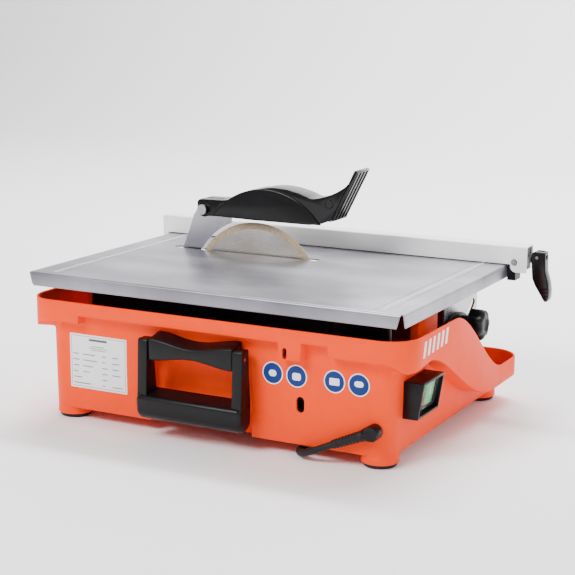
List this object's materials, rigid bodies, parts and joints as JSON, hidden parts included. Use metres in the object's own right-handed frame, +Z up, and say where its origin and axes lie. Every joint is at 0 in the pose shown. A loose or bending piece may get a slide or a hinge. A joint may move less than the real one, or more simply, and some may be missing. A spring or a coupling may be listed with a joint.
{
  "type": "tile cutter",
  "caption": "Table-top wet tile saw: moulded water tub, tilting steel table with blade slot, hinged blade guard, sliding fence with cam lever, fold-out carrying handle and mains cord.",
  "frame": {"origin": "middle of the saw's footprint on the surface it stands on, its free cord left out", "axes": "+X to the right along the cut, +Y to the rear, +Z up"},
  "size_m": [0.6, 0.577, 0.3232],
  "materials": {
    "orange_plastic": "satin, finely grained moulding",
    "black_plastic": "fine satin grain",
    "gloss_black_plastic": "glossy moulding",
    "black_rubber": "matt",
    "zinc_steel": "bright zinc plate",
    "ground_steel": "ground",
    "galvanised_steel": "satin galvanised sheet",
    "fence_aluminium": "satin",
    "motor_alloy": "as cast",
    "winding_copper": "lacquered",
    "diamond_steel": "brushed core, sintered grit rim",
    "printed_scale": "printed strip",
    "red_plastic": "gloss",
    "green_plastic": "gloss",
    "clear_plastic": "translucent",
    "brass_pins": "bright"
  },
  "bodies": {
    "base": {"base_tub": "orange_plastic", "foot_front_left": "black_rubber", "foot_front_right": "black_rubber", "foot_rear_left": "black_rubber", "foot_rear_right": "black_rubber", "drain_plug": "black_rubber", "motor_cover": "black_plastic", "motor_housing": "motor_alloy", "motor_stator": "winding_copper", "motor_end_cap_rear": "motor_alloy", "motor_end_cap_front": "motor_alloy", "bearing_rear": "ground_steel", "bearing_front": "ground_steel", "motor_cradle": "motor_alloy", "run_capacitor": "motor_alloy", "riving_knife": "zinc_steel", "knife_bracket": "zinc_steel", "knife_bolt": "zinc_steel", "guard_pin": "zinc_steel", "guard_nut": "zinc_steel", "tilt_shoe_left": "black_plastic", "tilt_shoe_right": "black_plastic", "tilt_stud_left": "zinc_steel", "tilt_stud_right": "zinc_steel", "switch_housing": "black_plastic", "switch_plate": "black_plastic", "switch_boot": "clear_plastic", "switch_body": "black_plastic", "handle_mount": "black_plastic", "handle_pin": "zinc_steel", "cord_gland": "black_plastic", "cord_boot": "black_rubber", "power_cord": "black_rubber", "cord_coil": "black_rubber", "plug_lead": "black_rubber", "plug_body": "black_rubber", "plug_pins": "brass_pins"},
    "spindle": {"arbor_shaft": "ground_steel", "inner_flange": "zinc_steel", "diamond_blade": "diamond_steel", "outer_flange": "zinc_steel", "arbor_nut": "zinc_steel"},
    "guard": {"blade_guard": "gloss_black_plastic"},
    "table": {"table_plate": "galvanised_steel", "tilt_plate_left": "zinc_steel", "tilt_plate_right": "zinc_steel", "scale_strip_left": "printed_scale", "scale_strip_right": "printed_scale"},
    "fence": {"fence_beam": "fence_aluminium", "fence_hook": "zinc_steel", "fence_jaw": "black_plastic", "fence_rod": "zinc_steel", "fence_screw": "zinc_steel", "lever_pin": "zinc_steel"},
    "cam_lever": {"fence_lever": "black_plastic"},
    "left_knob": {"tilt_knob_left": "black_plastic"},
    "right_knob": {"tilt_knob_right": "black_plastic"},
    "handle": {"handle_bail": "black_plastic"},
    "off_key": {"off_button": "red_plastic"},
    "on_key": {"on_button": "green_plastic"}
  },
  "joints": [
    {"name": "table_tilt", "type": "hinge", "parent": "base", "child": "table", "pos_m": [0, 0.047, 0.1942], "axis": [-1, 0, 0], "range_deg": [0, 45]},
    {"name": "blade_spin", "type": "hinge", "parent": "base", "child": "spindle", "pos_m": [-0.088, 0.047, 0.139], "axis": [0, 1, 0], "continuous": true},
    {"name": "guard_pivot", "type": "hinge", "parent": "base", "child": "guard", "pos_m": [-0.162, 0.047, 0.255], "axis": [0, -1, 0], "range_deg": [-16, 70]},
    {"name": "fence_slide", "type": "slide", "parent": "table", "child": "fence", "axis": [0, 1, 0], "range_m": [-0.07, 0.04]},
    {"name": "fence_cam", "type": "hinge", "parent": "fence", "child": "cam_lever", "pos_m": [0.282, 0.152, 0.2075], "axis": [0, -1, 0], "range_deg": [0, 100]},
    {"name": "left_knob_turn", "type": "hinge", "parent": "base", "child": "left_knob", "pos_m": [-0.28, 0.047, 0.1322], "axis": [-1, 0, 0], "range_deg": [0, 540]},
    {"name": "right_knob_turn", "type": "hinge", "parent": "base", "child": "right_knob", "pos_m": [0.234, 0.047, 0.1322], "axis": [1, 0, 0], "range_deg": [0, 540]},
    {"name": "handle_swing", "type": "hinge", "parent": "base", "child": "handle", "pos_m": [-0.03575, -0.209, 0.118], "axis": [-1, 0, 0], "range_deg": [0, 95]},
    {"name": "off_press", "type": "slide", "parent": "base", "child": "off_key", "axis": [-1, 0, 0], "range_m": [0, 0.0025], "stiffness_N_per_m": 400},
    {"name": "on_press", "type": "slide", "parent": "base", "child": "on_key", "axis": [-1, 0, 0], "range_m": [0, 0.0025], "stiffness_N_per_m": 400}
  ]
}
